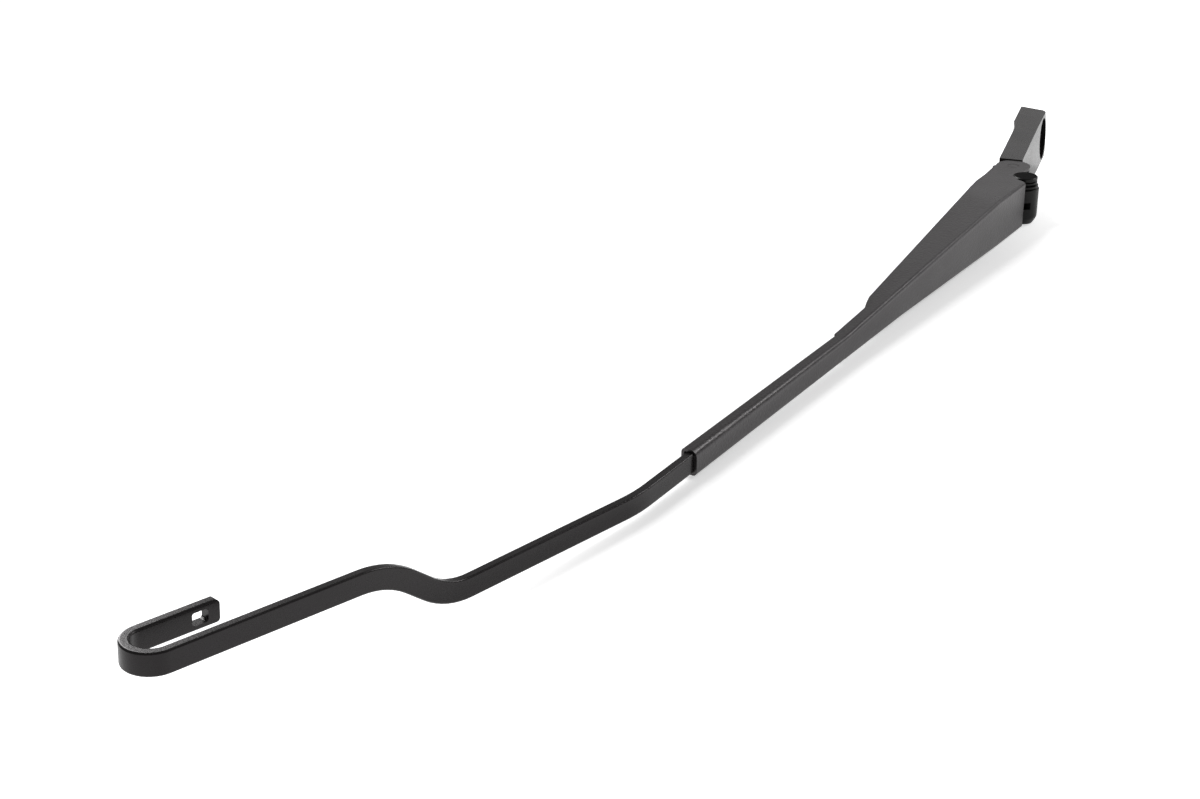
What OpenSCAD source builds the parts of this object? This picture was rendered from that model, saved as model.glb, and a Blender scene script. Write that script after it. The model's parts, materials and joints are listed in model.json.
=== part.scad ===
// Front wiper arm in its sprung-down rest position, without a blade.
// The spindle axis is Z and the arm points along +X. The origin is on the spindle axis,
// in the plane where the mounting head seats on the spindle. The hinge pin lies along Y.
// Lengths are in millimetres.

/* [Arm bar] */
// Width of the flat steel bar
bar_width = 9; // [6:0.5:14]
// Thickness of the bar
bar_thickness = 4; // [2.5:0.1:6]
// Radius on the bar's long edges
bar_edge = 0.9; // [0.4:0.1:1.2]
// Straight length between the channel bend and the sideways crank
middle_length = 82; // [40:1:160]
// Straight length of the hook leg
hook_leg = 79.5; // [50:0.5:160]
// Centreline radius of the bend just outside the channel
bend_radius = 75; // [15:1:120]
// Angle by which the bar bends down towards the glass
bend_angle = 12; // [2:0.5:25]
// Length of bar that shows between the channel and its bend
bar_exit = 35.6; // [10:0.2:80]

/* [Crank and hook] */
// Centreline radius of the sideways bend next to the hook leg
crank_radius = 40; // [20:1:60]
// Centreline radius of the sideways bend next to the middle of the bar
slope_radius = 33; // [20:1:60]
// Angle of the second sideways bend, which leads into the hook leg
crank_angle = 35; // [10:1:45]
// Straight length between the two sideways bends
crank_straight = 10.4; // [2:0.2:30]
// Angle between the hook leg and the middle of the bar, seen from above
hook_splay = 3.4; // [0:0.1:8]
// Centreline radius of the hook's U-bend
hook_radius = 8.9; // [6:0.1:14]
// Length of the hook's return leg
return_leg = 32; // [24:0.5:60]
// Length of the latch window in the return leg
window_length = 6.6; // [3:0.1:12]
// Width of the latch window in the return leg
window_width = 5; // [2:0.5:6]
// Distance from the return leg's free end to the latch window
window_margin = 4.7; // [3:0.1:10]

/* [Hood and channel] */
// Thickness of the sheet steel
sheet = 1.3; // [0.8:0.1:2]
// Distance from the hinge pin to the outer face of the roof
roof_height = 16.6; // [15.5:0.1:20]
// Outer width of the hood over the hinge
hood_width = 26; // [22:0.5:34]
// Sideways offset of the bar from the middle of the hinge
bar_offset = 4.5; // [0:0.5:6]
// Distance from the hinge pin to where the hood's sides run parallel
parallel_end = 58; // [45:1:90]
// Distance from the hinge pin to where the far side starts to widen
far_taper_end = 240; // [225:1:270]
// Distance from the hinge pin to where the near side starts to widen
near_taper_end = 178; // [120:1:190]
// Distance from the hinge pin to the start of the folded channel
fold_end = 208; // [204:1:220]
// Distance from the hinge pin to the channel's open end
channel_end = 378; // [300:1:420]
// Distance from the hinge pin to the hinge end of the roof
roof_end = 23.5; // [22:0.5:32]
// Depth of the side walls below the pin at the deepest place
wall_depth = 6.6; // [5:0.1:9]
// Height of the side walls' lower edge where the open hood ends
wall_rise = 7; // [4:0.1:9]
// Outer bend radius of the hood's two long edges
hood_edge = 1.8; // [1.5:0.1:4]
// Outer radius of the folded channel's corners
channel_edge = 1.9; // [1.6:0.1:2.4]
// Width of the seam between the folded lips
seam = 3; // [1.5:0.5:5]
// Radius of the ear round the hinge pin
ear_radius = 9.3; // [7:0.1:11]

/* [Hinge] */
// Angle by which the arm points down from the mounting head at its lower stop
arm_drop = 13.8; // [5:0.2:20]
// Radius of the hinge pin
pin_radius = 3; // [2:0.1:4]
// Wall of the hinge bushes
bush_wall = 1.1; // [0.6:0.1:1.6]
// Thickness of the bushes' flanges
bush_flange = 0.8; // [0.5:0.1:1.2]
// Radius of the bushes' flanges
flange_radius = 6.2; // [5:0.1:8]
// Radius of the spring link's pin
link_pin_radius = 1.9; // [1.4:0.1:2.5]
// Distance between the hinge pin and the spring link's pin
link_offset = 8.2; // [7.6:0.1:9]
// Angle of the line from the spring link's pin up to the hinge pin
link_rise = 65; // [50:1:80]

/* [Mounting head] */
// Distance from the spindle axis to the hinge pin
head_length = 95; // [70:1:120]
// Width of the mounting head
head_width = 27; // [24:0.5:34]
// Full thickness of the head at the spindle
head_height = 15.1; // [14:0.1:20]
// Height of the head's underside between the spindle seat and the hinge
head_relief = 2.2; // [1:0.1:4]
// Distance from the spindle axis to the middle of the head's free end, at the underside
head_end = 20; // [17:0.5:26]
// Distance by which the free end leans in from the underside to the outer face
end_lean = 4.5; // [0:0.5:6]
// Distance by which the middle of the free end stands out past its two corners
end_crown = 3.2; // [1:0.2:5]
// Height of the hinge pin above the spindle seat
pin_height = 11.3; // [10.5:0.1:13]
// Distance from the spindle axis to the end of the flat seat under the head
seat_end = 14.5; // [12:0.5:18]
// Radius of the bore that takes the spindle
spindle_radius = 5; // [3.5:0.1:7]
// Radius of the recess for the fixing nut
nut_recess_radius = 12.2; // [8:0.1:12.4]
// Depth of the recess for the fixing nut
nut_recess_depth = 5; // [2:0.5:8]
// Wall left round the cored pockets under the head
pocket_wall = 3.2; // [2:0.1:5]
// Depth of the cored pockets under the head
pocket_depth = 7; // [3:0.5:9]

/* [Hinge cover] */
// Radius of the cover's roll in front of the hinge pin
roll_radius = 7.6; // [5:0.1:8]
// Radius of the end discs that sit in the ears' notches
disc_radius = 6.4; // [4:0.1:7]
// Distance of the roll's centre in front of the hinge pin
roll_forward = 13; // [11:0.5:15]
// Height of the roll's centre above the hinge pin
roll_height = 12.6; // [10:0.2:14]
// Thickness of the end discs that sit in the ears' notches
disc_thickness = 1.6; // [1:0.1:2.5]
// Width of each groove near the roll's ends
groove = 0.9; // [0.5:0.1:1.5]
// Length of the cover's tail under the roof
tail_length = 12; // [6:0.5:20]
// Length of the notch in the cover next to the roof
notch_length = 5.4; // [3:0.2:7]
// Width of the notch in the cover next to the roof
notch_width = 3.8; // [2:0.2:8]

/* [Tension spring] */
// Mean radius of the coils
coil_radius = 3.9; // [3:0.1:5]
// Radius of the spring wire
wire_radius = 1.1; // [0.7:0.1:1.2]
// Distance from the link's pin to the start of the coils
coil_start = 66; // [50:1:90]
// Length of the coiled body
coil_length = 86; // [40:1:100]
// Distance from the hinge pin to the spring's hole in the bar
anchor_distance = 198; // [190:1:202]
// Radius of the spring's hole in the bar
anchor_hole = 1.7; // [1.5:0.1:2.6]

/* [Fits] */
// Running clearance of a pin in its bush, on the radius
running_fit = 0.05; // [0.02:0.01:0.1]
// Clearance of a pressed or staked piece, on the radius
seat_fit = 0.02; // [0.01:0.01:0.05]
// Gap between faces that slide past each other
side_gap = 0.3; // [0.2:0.05:0.5]
// Gap round the bar inside the folded channel
fold_gap = 0.05; // [0.02:0.01:0.2]

/* [Hidden] */

// Plain allowance by which a cut passes the face that it leaves
over = 1;
round_faces = 96;
crank_steps = 8;
hook_steps = 20;
hook_corner = 2;

coat = [0.21, 0.21, 0.21];
cast = [0.30, 0.30, 0.30];
plastic = [0.10, 0.10, 0.10];
steel = [0.62, 0.62, 0.60];
nylon = [0.80, 0.79, 0.75];

// Hood and channel, in the arm's own frame with its origin on the hinge pin
half_hood = hood_width / 2;
roof_under = roof_height - sheet;
bar_level = roof_under - fold_gap - bar_thickness / 2;
channel_half = bar_width / 2 + fold_gap + sheet;
channel_floor = bar_level - bar_thickness / 2 - fold_gap - sheet;
channel_near = bar_offset + channel_half;
channel_far = bar_offset - channel_half;
far_taper = atan((half_hood + channel_far) / (far_taper_end - parallel_end));
wall_start = fold_end - 10;
wall_parallel = 45;
bar_end = anchor_distance - 6;
bend_start = channel_end + bar_exit;

// Hinge
bush_radius = pin_radius + running_fit + bush_wall;
hood_inside = half_hood - sheet;
cheek = hood_inside - side_gap - bush_flange - side_gap;
link_half = 1.7;
slot_half = link_half + side_gap;
link_x = -link_offset * cos(link_rise);
link_z = -link_offset * sin(link_rise);
link_eye = link_pin_radius + running_fit + 2.1;
link_hole = wire_radius + 0.6;
knuckle_radius = pin_height - head_relief;
seat_slope = 12.5;
neck_relief = 3;

// The spring's line in the arm's frame, from the link's pin to its hole in the bar. The link
// reaches to a short way before the coils.
link_reach = 12;
pull_x = anchor_distance - (link_x * cos(arm_drop) - link_z * sin(arm_drop));
hook_level = bar_level - bar_thickness / 2 - side_gap - wire_radius;
pull_z = hook_level - (link_x * sin(arm_drop) + link_z * cos(arm_drop));
pull_rise = atan(pull_z / pull_x);
link_tail = coil_start - link_reach;
pull_flat = sqrt(pull_x * pull_x + pull_z * pull_z) - link_tail;
pull_skew = atan(bar_offset / pull_flat);
pull_length = sqrt(pull_flat * pull_flat + bar_offset * bar_offset);
link_pin_half = 7.5;
coil_turns = floor(coil_length / (2 * wire_radius + 0.1));
coil_pitch = coil_length / coil_turns;
coil_wall = 0.8 * wire_radius;
corner_swell = 1.05;

// Places children in the arm's frame: origin on the hinge pin, X towards the tip, Z outwards
module in_arm_frame() {
    translate([head_length, 0, pin_height])
        rotate([0, arm_drop, 0])
            children();
}

// A rectangle with rounded corners, centred
module rounded_rectangle(size_x, size_y, radius) {
    square([size_x - 2 * radius, size_y], center = true);
    square([size_x, size_y - 2 * radius], center = true);
    for (x = [-1, 1], y = [-1, 1])
        translate([x * (size_x / 2 - radius), y * (size_y / 2 - radius)])
            circle(r = radius, $fn = round_faces);
}

// A flat profile in X and Z given thickness along Y
module across(thickness) {
    rotate([90, 0, 0])
        linear_extrude(height = thickness, center = true)
            children();
}

// A flat profile in Y and Z run along X
module along(length) {
    rotate([90, 0, 90])
        linear_extrude(height = length)
            children();
}

module round_across(radius, length) {
    rotate([90, 0, 0])
        cylinder(r = radius, h = length, center = true, $fn = round_faces);
}

// Sweeps: a section carried along a list of frames, each [origin, x, y, z] with x forwards

function start_frame(origin) = [origin, [1, 0, 0], [0, 1, 0], [0, 0, 1]];

function moved(frame, length) = [frame[0] + length * frame[1], frame[1], frame[2], frame[3]];

// A frame carried round a bend towards -z
function turned_down(frame, radius, angle) =
    let (x = cos(angle) * frame[1] - sin(angle) * frame[3],
         z = cos(angle) * frame[3] + sin(angle) * frame[1])
    [frame[0] - radius * frame[3] + radius * z, x, frame[2], z];

// A frame carried round a sideways bend: towards +y for a positive angle
function turned_side(frame, radius, angle) =
    let (x = cos(angle) * frame[1] + sin(angle) * frame[2],
         y = cos(angle) * frame[2] - sin(angle) * frame[1],
         reach = sign(angle) * radius)
    [frame[0] + reach * frame[2] - reach * y, x, y, frame[3]];

function last(list) = list[len(list) - 1];

// Frames along a bend, from just past the given frame to the bend's end
function bend_down(frame, radius, angle, steps) =
    [for (i = [1 : steps]) turned_down(frame, radius, angle * i / steps)];

function bend_side(frame, radius, angle, steps) =
    [for (i = [1 : steps]) turned_side(frame, radius, angle * i / steps)];

// The outline of a rectangle with rounded corners, anticlockwise, as [y, z] points
function rounded_outline(width, height, radius, steps) = [
    for (corner = [0 : 3], i = [0 : steps])
        let (angle = 90 * corner + 90 * i / steps,
             side_y = corner == 0 || corner == 3 ? 1 : -1,
             side_z = corner < 2 ? 1 : -1)
        [side_y * (width / 2 - radius) + radius * cos(angle),
         side_z * (height / 2 - radius) + radius * sin(angle)]
];

// A closed solid through rings of points, with each end closed by the faces in caps
module skin(rings, caps) {
    count = len(rings[0]);
    points = [for (ring = rings, point = ring) point];
    walls = [
        for (i = [0 : len(rings) - 2], k = [0 : count - 1])
            let (next = (k + 1) % count, a = i * count, b = a + count)
            each [[a + k, b + k, b + next], [a + k, b + next, a + next]]
    ];
    end = (len(rings) - 1) * count;
    polyhedron(
        points = points,
        faces = concat(walls, caps,
                       [for (cap = caps) [for (k = [len(cap) - 1 : -1 : 0]) end + cap[k]]])
    );
}

// End faces: one for a rounded outline, a strip for a bent sheet with its two skins in one ring
function whole_cap(count) = [[for (k = [0 : count - 1]) k]];

function strip_caps(count) = [
    for (k = [0 : count / 2 - 2])
        each [[k, k + 1, count - 2 - k], [k, count - 2 - k, count - 1 - k]]
];

// One ring: the outline's [y, z] points set out in a frame
function ring_at(frame, outline) = [for (p = outline) frame[0] + p[0] * frame[2] + p[1] * frame[3]];

// Bar

// Frames along the bar's centreline, from its tail in the hood to the hook's free end
function bar_frames() =
    let (tail = start_frame([bar_end, bar_offset, bar_level]),
         bend = moved(tail, bend_start - bar_end),
         first = bend_down(bend, bend_radius, bend_angle, 6),
         crank = moved(last(first), middle_length),
         second = bend_side(crank, slope_radius, -(crank_angle + hook_splay), crank_steps),
         slope = moved(last(second), crank_straight),
         third = bend_side(slope, crank_radius, crank_angle, crank_steps),
         hook = moved(last(third), hook_leg),
         fourth = bend_down(hook, hook_radius, 180, hook_steps),
         end = moved(last(fourth), return_leg))
    concat([tail, bend], first, [crank], second, [slope], third, [hook], fourth, [end]);

// Carries children from the arm's frame to the hook's free end
module at_frame(frame) {
    multmatrix([
        [frame[1][0], frame[2][0], frame[3][0], frame[0][0]],
        [frame[1][1], frame[2][1], frame[3][1], frame[0][1]],
        [frame[1][2], frame[2][2], frame[3][2], frame[0][2]],
        [0, 0, 0, 1]
    ])
        children();
}

// What is cut off the return leg's end: its two corners and the latch window
module hook_cuts() {
    deep = bar_thickness + 2 * over;
    translate([-window_margin - window_length / 2, 0, 0])
        linear_extrude(height = deep, center = true)
            rounded_rectangle(window_length, window_width, 1);
    for (side = [0, 1])
        mirror([0, side, 0])
            translate([-hook_corner, bar_width / 2 - hook_corner, 0])
                linear_extrude(height = deep, center = true)
                    difference() {
                        square([hook_corner + over, hook_corner + over]);
                        circle(r = hook_corner, $fn = round_faces);
                    }
}

module arm_bar() {
    outline = rounded_outline(bar_width, bar_thickness, bar_edge, 3);
    frames = bar_frames();
    color(coat)
        in_arm_frame()
            difference() {
                skin([for (frame = frames) ring_at(frame, outline)], whole_cap(len(outline)));
                translate([anchor_distance, bar_offset, bar_level])
                    cylinder(r = anchor_hole, h = bar_thickness + 2 * over, center = true,
                             $fn = round_faces);
                at_frame(last(frames))
                    hook_cuts();
            }
}

// Hood

// The hood's cross-section at one place: a U that opens downwards, as a ring of points
function hood_ring(x, near, far) =
    let (bottom = -2 * ear_radius,
         inner = hood_edge - sheet,
         steps = 6,
         outer_arcs = concat(
             [for (i = [0 : steps])
                 [near - hood_edge + hood_edge * cos(90 * i / steps),
                  roof_height - hood_edge + hood_edge * sin(90 * i / steps)]],
             [for (i = [0 : steps])
                 [far + hood_edge - hood_edge * sin(90 * i / steps),
                  roof_height - hood_edge + hood_edge * cos(90 * i / steps)]]),
         inner_arcs = concat(
             [for (i = [steps : -1 : 0])
                 [far + hood_edge - inner * sin(90 * i / steps),
                  roof_height - hood_edge + inner * cos(90 * i / steps)]],
             [for (i = [steps : -1 : 0])
                 [near - hood_edge + inner * cos(90 * i / steps),
                  roof_height - hood_edge + inner * sin(90 * i / steps)]]),
         outline = concat(
             [[near, bottom]], outer_arcs, [[far, bottom], [far + sheet, bottom]],
             inner_arcs, [[near - sheet, bottom]]))
    [for (p = outline) [x, p[0], p[1]]];

// The bent sheet before its side walls are cut to shape
module hood_sheet() {
    far_middle = -half_hood + (near_taper_end - parallel_end) * tan(far_taper);
    rings = [
        hood_ring(-2 * ear_radius, half_hood, -half_hood),
        hood_ring(parallel_end, half_hood, -half_hood),
        hood_ring(near_taper_end, channel_near, far_middle),
        hood_ring(far_taper_end, channel_near, channel_far)
    ];
    skin(rings, strip_caps(len(rings[0])));
}

// The hood's outline seen from the side: roof, side walls, ears and the cover's notches
module hood_side_outline() {
    difference() {
        union() {
            circle(r = ear_radius, $fn = round_faces);
            polygon([
                [roof_end, roof_height + over],
                [far_taper_end + over, roof_height + over],
                [far_taper_end + over, channel_floor],
                [fold_end, channel_floor],
                [wall_start + 4, wall_rise + 1],
                [wall_start - 2, wall_rise - 0.5],
                [wall_parallel, -wall_depth],
                [wall_parallel / 2, -ear_radius + 1],
                [0.1 * ear_radius, -0.97 * ear_radius],
                [-0.25 * ear_radius, 0.85 * ear_radius],
                [roof_end - 3, roll_height - 2]
            ]);
        }
        translate([roll_forward, roll_height])
            circle(r = disc_radius + side_gap, $fn = round_faces);
    }
}

// Cross-section of the bar's space in the folded channel
module fold_space() {
    rounded_rectangle(bar_width + 2 * fold_gap, bar_thickness + 2 * fold_gap, bar_edge - fold_gap);
}

// Cross-section of the sheet folded round the bar, filled
module fold_skin() {
    rounded_rectangle(2 * channel_half, bar_thickness + 2 * fold_gap + 2 * sheet, channel_edge);
}

// The folded channel: the sheet wraps the bar and its lips leave a seam below
module folded_channel() {
    translate([fold_end, bar_offset, bar_level])
        difference() {
            along(channel_end - fold_end)
                fold_skin();
            translate([-over, 0, 0])
                along(channel_end - fold_end + 2 * over)
                    union() {
                        fold_space();
                        translate([-seam / 2, -bar_thickness])
                            square([seam, bar_thickness]);
                    }
        }
}

module hood() {
    color(coat)
        in_arm_frame()
            difference() {
                union() {
                    intersection() {
                        hood_sheet();
                        across(2 * hood_width)
                            hood_side_outline();
                    }
                    folded_channel();
                }
                round_across(pin_radius + seat_fit, 2 * hood_width);
            }
}

module hinge_pin() {
    color(steel)
        in_arm_frame()
            round_across(pin_radius, hood_width);
}

// Hinge cover

// The roll, turned as one profile: end disc, grooves and ridges at the far end, a plain body,
// and a rounded near end
module cover_roll() {
    outer = half_hood + side_gap;
    disc = outer - disc_thickness;
    body = roll_radius;
    neck = disc_radius - 1.2;
    ridge = (disc_radius + body) / 2;
    step = groove;
    taper = half_hood - 4.5;
    translate([roll_forward, 0, roll_height])
        rotate([90, 0, 0])
            rotate_extrude($fn = round_faces)
                polygon([
                    [0, outer], [disc_radius - 0.5, outer], [disc_radius, outer - 0.4],
                    [disc_radius, disc], [neck, disc - 0.2],
                    [neck, disc - step], [disc_radius, disc - 1.3 * step],
                    [disc_radius, disc - 2 * step], [neck, disc - 2.4 * step],
                    [neck, disc - 3 * step], [ridge, disc - 3.4 * step],
                    [ridge, disc - 4.2 * step], [ridge - 0.7, disc - 4.6 * step],
                    [ridge - 0.7, disc - 5 * step], [body, disc - 5.6 * step],
                    [body, -taper], [body - 0.3, -taper - 1.2],
                    [disc_radius, -disc + 0.2], [disc_radius - 0.9, -outer + 0.4],
                    [disc_radius - 1.9, -outer], [0, -outer]
                ]);
}

module hinge_cover() {
    tail_top = roof_under - side_gap;
    tail_width = 2 * (hood_inside - side_gap);
    tail_end = roof_end + tail_length;
    color(plastic)
        in_arm_frame()
            difference() {
                union() {
                    cover_roll();
                    translate([roll_forward, -tail_width / 2, roll_height])
                        cube([tail_end - roll_forward, tail_width, tail_top - roll_height]);
                }
                round_across(knuckle_radius + side_gap, 2 * hood_width);
                across(2 * (cheek + side_gap))
                    stop_tongue(side_gap);
                translate([roof_end - side_gap - notch_length, 0, roll_height])
                    cube([notch_length, notch_width, roll_radius + over]);
            }
}

// Mounting head

// The slab before its underside is shaped, with a crowned free end that leans in
module head_slab() {
    half = head_width / 2;
    neck = head_length - max(knuckle_radius, ear_radius) - side_gap;
    end_radius = (half * half + end_crown * end_crown) / (2 * end_crown);
    lean = atan(end_lean / head_height);
    middle = end_radius / cos(lean) - head_end;
    intersection() {
        translate([-head_end - over, -half, 0])
            cube([neck + head_end + over, head_width, head_height]);
        union() {
            translate([middle, 0, 0])
                rotate([0, lean, 0])
                    cylinder(r = end_radius, h = 4 * head_height, center = true,
                             $fn = 4 * round_faces);
            translate([middle, -half, 0])
                cube([neck, head_width, head_height]);
        }
    }
}

// Side view of the slab: flat seat under the spindle, then a slope up to the thinner neck
module head_side() {
    polygon([
        [-head_end - over, head_height],
        [-head_end - over, 0],
        [seat_end, 0],
        [seat_end + seat_slope, head_relief],
        [head_length, head_relief],
        [head_length, head_height]
    ]);
}

// Side view of the tongue that stops the arm, in the arm's frame, with a gap added all round
module stop_tongue(gap) {
    top = roll_height - side_gap;
    polygon([
        [0, knuckle_radius + gap],
        [roll_forward + 2, knuckle_radius + gap],
        [roof_end - gap, top + gap],
        [roof_end + 4 + gap, top + gap],
        [roof_end + 4 + gap, roll_height - 5],
        [4, -2],
        [0, 0]
    ]);
}

// The knuckle between the hood's ears, with a lobe for the link's pin and a stop tongue
module knuckle_side() {
    circle(r = knuckle_radius, $fn = round_faces);
    translate([link_x, link_z])
        circle(r = link_eye + side_gap, $fn = round_faces);
    translate([-2 * knuckle_radius, head_relief - pin_height + neck_relief])
        square([2 * knuckle_radius, head_height - head_relief - neck_relief]);
    rotate(-arm_drop)
        stop_tongue(0);
}

module knuckle() {
    translate([head_length, 0, pin_height])
        difference() {
            across(2 * cheek)
                knuckle_side();
            // Slot between the two cheeks, where the spring link swings
            translate([link_x - link_eye - side_gap, -slot_half, -2 * knuckle_radius])
                cube([6 * knuckle_radius, 2 * slot_half, 4 * knuckle_radius]);
            round_across(bush_radius + seat_fit, 2 * head_width);
            translate([link_x, 0, link_z])
                round_across(link_pin_radius + seat_fit, 2 * link_pin_half);
        }
}

// Cored pockets in the underside of the casting, with a rib between them
module head_pockets() {
    first = seat_end + 6;
    last = head_length - 2 * knuckle_radius - pocket_wall;
    length = (last - first - pocket_wall) / 2;
    width = head_width - 2 * pocket_wall;
    for (index = [0, 1])
        translate([first + length / 2 + index * (length + pocket_wall), 0, -over])
            linear_extrude(height = head_relief + pocket_depth + over)
                rounded_rectangle(length, width, 2.5);
}

module mounting_head() {
    color(cast) {
        difference() {
            union() {
                intersection() {
                    head_slab();
                    across(2 * head_width)
                        head_side();
                }
                knuckle();
            }
            translate([0, 0, -over])
                cylinder(r = spindle_radius, h = head_height + 2 * over, $fn = round_faces);
            translate([0, 0, head_height - nut_recess_depth])
                cylinder(r = nut_recess_radius, h = nut_recess_depth + over, $fn = round_faces);
            head_pockets();
        }
    }
}

module bush(side) {
    length = cheek - slot_half;
    color(nylon)
        translate([head_length, side * (slot_half + length / 2), pin_height])
            difference() {
                union() {
                    round_across(bush_radius, length);
                    translate([0, side * (length / 2 + bush_flange / 2), 0])
                        round_across(flange_radius, bush_flange);
                }
                round_across(pin_radius + running_fit, 2 * hood_width);
            }
}

module bush_near() {
    bush(1);
}

module bush_far() {
    bush(-1);
}

module link_pin() {
    color(steel)
        translate([head_length + link_x, 0, pin_height + link_z])
            round_across(link_pin_radius, 2 * link_pin_half - side_gap);
}

// Spring link and spring, in a frame with its origin on the link's pin and X along the pull

module in_pull_frame() {
    translate([head_length + link_x, 0, pin_height + link_z])
        rotate([0, arm_drop - pull_rise, 0])
            children();
}

// The C-shaped strap that bows below the hinge pin, with its open eye round the link's pin
module spring_link() {
    bow_inner = pin_radius + 0.8;
    bow_outer = bow_inner + 2.6;
    strap = 2.6;
    color(steel)
        in_pull_frame()
            across(2 * link_half)
                difference() {
                    union() {
                        circle(r = link_eye, $fn = round_faces);
                        difference() {
                            translate([link_offset, 0])
                                circle(r = bow_outer, $fn = round_faces);
                            translate([link_offset, 0])
                                circle(r = bow_inner, $fn = round_faces);
                            translate([0, 1])
                                square([2 * link_offset + bow_outer, bow_outer]);
                        }
                        translate([link_offset + bow_inner, -strap / 2])
                            square([link_tail - link_offset - bow_inner, strap]);
                        translate([link_tail, 0])
                            circle(r = link_hole + 1.6, $fn = round_faces);
                    }
                    circle(r = link_pin_radius + running_fit, $fn = round_faces);
                    translate([link_tail, 0])
                        circle(r = link_hole, $fn = round_faces);
                    rotate(75)
                        translate([0, -link_pin_radius * 0.8])
                            square([2 * link_eye, link_pin_radius * 1.6]);
                    translate([link_offset, 0])
                        circle(r = bow_inner, $fn = round_faces);
                }
}

// Tension spring, with its axis along +x from the link's hole to the bar's hole

// Half of the coiled body's section: a corrugated wall whose crests are the closed coils,
// with the last coil turned in to the axis
module coil_section() {
    crest = 70;
    polygon(concat(
        [[coil_radius - coil_wall, 0]],
        [for (turn = [0 : coil_turns - 1], angle = [crest : -40 : -crest])
            [coil_radius + wire_radius * cos(angle),
             coil_pitch * (turn + 0.5) - wire_radius * sin(angle)]],
        [[coil_radius - coil_wall, coil_length], [0, coil_length],
         [0, coil_length - 2 * wire_radius],
         [coil_radius - coil_wall, coil_length - 2 * wire_radius]]
    ));
}

// A straight wire along +z from the origin
module wire_straight(length) {
    cylinder(r = wire_radius, h = length, $fn = 32);
}

module tension_spring() {
    first_coil = coil_start - link_tail;
    last_coil = first_coil + coil_length;
    color(steel)
        in_pull_frame()
            translate([link_tail, 0, 0])
                rotate([0, 0, pull_skew]) {
                    translate([first_coil, 0, 0])
                        rotate([0, 90, 0])
                            rotate_extrude($fn = round_faces)
                                coil_section();
                    translate([coil_radius, 0, 0])
                        rotate([0, 0, 90])
                            rotate_extrude(angle = 200, $fn = round_faces)
                                translate([coil_radius, 0])
                                    circle(r = wire_radius, $fn = 32);
                    translate([coil_radius, coil_radius, 0])
                        rotate([0, 90, 0])
                            wire_straight(first_coil + wire_radius - coil_radius);
                    translate([last_coil - wire_radius, 0, 0])
                        rotate([0, 90, 0])
                            wire_straight(pull_length + wire_radius - last_coil);
                    translate([pull_length, 0, 0]) {
                        sphere(r = corner_swell * wire_radius, $fn = 32);
                        wire_straight(bar_thickness + side_gap);
                    }
                }
}

mounting_head();
bush_near();
bush_far();
link_pin();
hood();
arm_bar();
hinge_pin();
hinge_cover();
spring_link();
tension_spring();
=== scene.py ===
"""Dressing of a windscreen wiper arm that lies on its side on a white table.

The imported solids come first, as a fixed frame. Each sub-assembly then softens the edges of its
own solids, adds the small forms that the solids leave out and puts a finish on every piece.
"""

import json
import logging
import math
from dataclasses import dataclass
from enum import Enum
from typing import Any, Callable, Optional, Sequence

import bmesh
import bpy
from mathutils import Matrix, Vector

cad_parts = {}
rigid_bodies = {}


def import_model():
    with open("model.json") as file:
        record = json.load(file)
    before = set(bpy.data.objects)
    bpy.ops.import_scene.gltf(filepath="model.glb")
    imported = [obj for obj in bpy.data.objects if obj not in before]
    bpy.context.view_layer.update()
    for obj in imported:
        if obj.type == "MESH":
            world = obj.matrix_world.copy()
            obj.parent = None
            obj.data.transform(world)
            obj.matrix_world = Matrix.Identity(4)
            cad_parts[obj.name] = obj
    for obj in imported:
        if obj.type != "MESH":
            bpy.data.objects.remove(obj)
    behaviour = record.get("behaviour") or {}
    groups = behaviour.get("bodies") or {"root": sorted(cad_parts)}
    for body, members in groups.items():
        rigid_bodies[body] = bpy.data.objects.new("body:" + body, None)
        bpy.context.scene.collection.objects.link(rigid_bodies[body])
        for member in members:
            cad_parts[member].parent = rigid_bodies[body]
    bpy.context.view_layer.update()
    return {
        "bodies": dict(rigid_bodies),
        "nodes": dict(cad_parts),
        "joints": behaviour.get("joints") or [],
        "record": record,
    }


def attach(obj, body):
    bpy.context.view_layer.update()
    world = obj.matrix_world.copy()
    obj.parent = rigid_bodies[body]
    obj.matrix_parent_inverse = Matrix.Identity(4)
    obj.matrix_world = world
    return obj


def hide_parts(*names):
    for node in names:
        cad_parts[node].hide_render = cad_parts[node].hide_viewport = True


LOG = logging.getLogger("wiper_arm")
MM = 0.001
WHITE = (1.0, 1.0, 1.0, 1.0)
PLASTIC_INDEX = 1.5

Tree = bpy.types.NodeTree
Socket = bpy.types.NodeSocket
Shape = bmesh.types.BMesh


# Units, colours and shares


def mm(*values: float) -> Vector:
    """Turns lengths in millimetres into a vector in metres."""
    return Vector(values) * MM


def from_hex(code: str) -> tuple[float, float, float, float]:
    """Turns an sRGB hex colour into the linear colour that a shader takes.

    Args:
        code: six hex digits, with or without a hash in front.

    Returns:
        Linear red, green and blue, and an alpha of one.
    """
    digits = code.lstrip("#")
    channels = [int(digits[i : i + 2], 16) / 255 for i in (0, 2, 4)]
    linear = [c / 12.92 if c <= 0.04045 else ((c + 0.055) / 1.055) ** 2.4 for c in channels]
    return (*linear, 1.0)


def share_of_way(value: float, start: float, end: float) -> float:
    """Gives how much of the way from start to end a value has come, from 0 to 1."""
    return min(1.0, max(0.0, (value - start) / (end - start)))


# Shader nodes


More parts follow.
